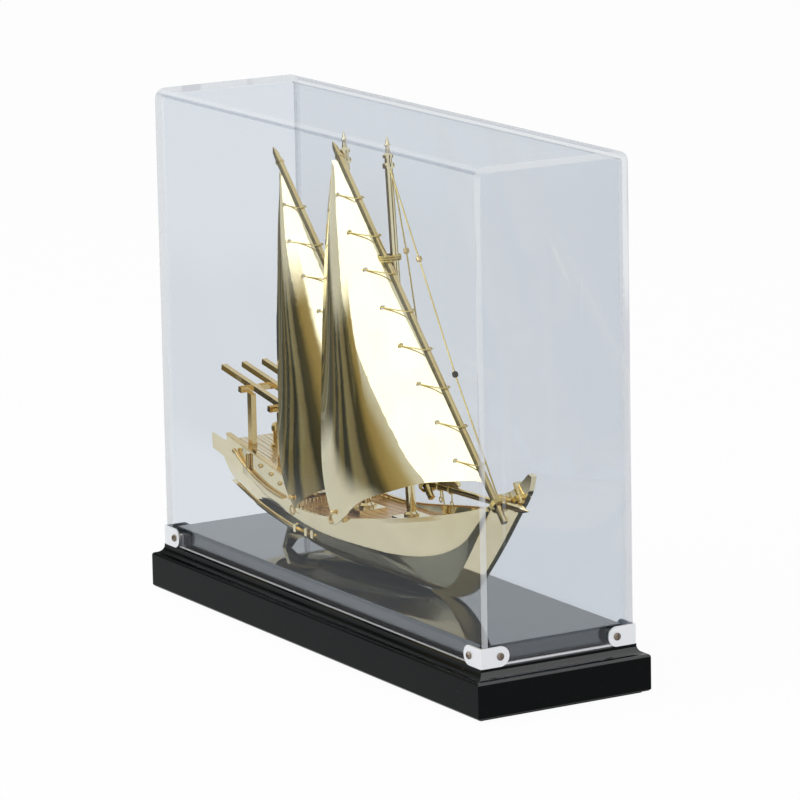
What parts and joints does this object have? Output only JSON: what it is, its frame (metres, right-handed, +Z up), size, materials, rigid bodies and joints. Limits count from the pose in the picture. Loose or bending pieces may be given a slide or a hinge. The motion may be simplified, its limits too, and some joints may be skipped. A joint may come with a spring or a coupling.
{
  "type": "display case with ship model",
  "caption": "Clear box cover held by corner brackets on a moulded black plinth, lifting off a fixed gilt model of a lateen-rigged sailing ship.",
  "frame": {"origin": "centre of the underside that the case stands on", "axes": "+X along the case towards the ship's bow, -Y towards the long front side, +Z up"},
  "size_m": [0.287, 0.0864, 0.2337],
  "materials": {
    "clear_acrylic": "clear polished sheet",
    "felt": "felt",
    "black_lacquer": "black gloss lacquer",
    "black_pad": "polished black",
    "bracket_metal": "bright nickel",
    "screw_steel": "bright",
    "gilt_wire": "gilt wire",
    "gilt_sail": "mirror gilt",
    "gilt_hull": "mirror gilt"
  },
  "bodies": {
    "base": {"base_plinth": "black_lacquer", "bowsprit": "gilt_hull", "bowsprit_hooks": "gilt_wire", "bracket_screws": "screw_steel", "cap_rail_port": "gilt_hull", "cap_rail_starboard": "gilt_hull", "clew_hooks": "gilt_hull", "corner_bracket_front_left": "bracket_metal", "corner_bracket_front_right": "bracket_metal", "corner_bracket_rear_left": "bracket_metal", "corner_bracket_rear_right": "bracket_metal", "display_pad": "black_pad", "felt_underlay": "felt", "forestay": "gilt_wire", "gunwale_port": "gilt_hull", "gunwale_starboard": "gilt_hull", "halyard": "gilt_wire", "heel_lashing": "gilt_wire", "heel_spar": "gilt_hull", "helm_post": "gilt_hull", "hull": "gilt_hull", "main_deck": "gilt_hull", "main_mast": "gilt_hull", "main_mast_step": "gilt_hull", "main_sail": "gilt_sail", "main_sail_lacing": "gilt_wire", "main_yard": "gilt_hull", "main_yard_lashing": "gilt_wire", "mast_collars": "gilt_hull", "mizzen_mast": "gilt_hull", "mizzen_mast_step": "gilt_hull", "mizzen_sail": "gilt_sail", "mizzen_sail_lacing": "gilt_wire", "mizzen_yard": "gilt_hull", "mizzen_yard_lashing": "gilt_wire", "poop_bulkhead": "gilt_hull", "poop_deck": "gilt_hull", "poop_nosing": "gilt_hull", "prow_band": "gilt_hull", "prow_lashing": "gilt_wire", "quarter_moulding_port": "gilt_hull", "quarter_moulding_starboard": "gilt_hull", "quarter_panel_port": "gilt_hull", "quarter_panel_starboard": "gilt_hull", "quarter_studs": "gilt_hull", "rigging_beads": "gilt_hull", "sheet_rings": "gilt_hull", "shelter_beams": "gilt_hull", "shelter_posts": "gilt_hull", "shelter_slats": "gilt_hull", "stem_plate": "gilt_hull", "stern_trestle": "gilt_hull", "transom": "gilt_hull", "wale_blocks": "gilt_hull", "wale_port": "gilt_hull", "wale_starboard": "gilt_hull"},
    "cover": {"cover_wrap": "clear_acrylic", "cover_end_left": "clear_acrylic", "cover_end_right": "clear_acrylic"}
  },
  "joints": [
    {"name": "cover_lift", "type": "slide", "parent": "base", "child": "cover", "axis": [0, 0, 1], "range_m": [0, 0.21]}
  ]
}
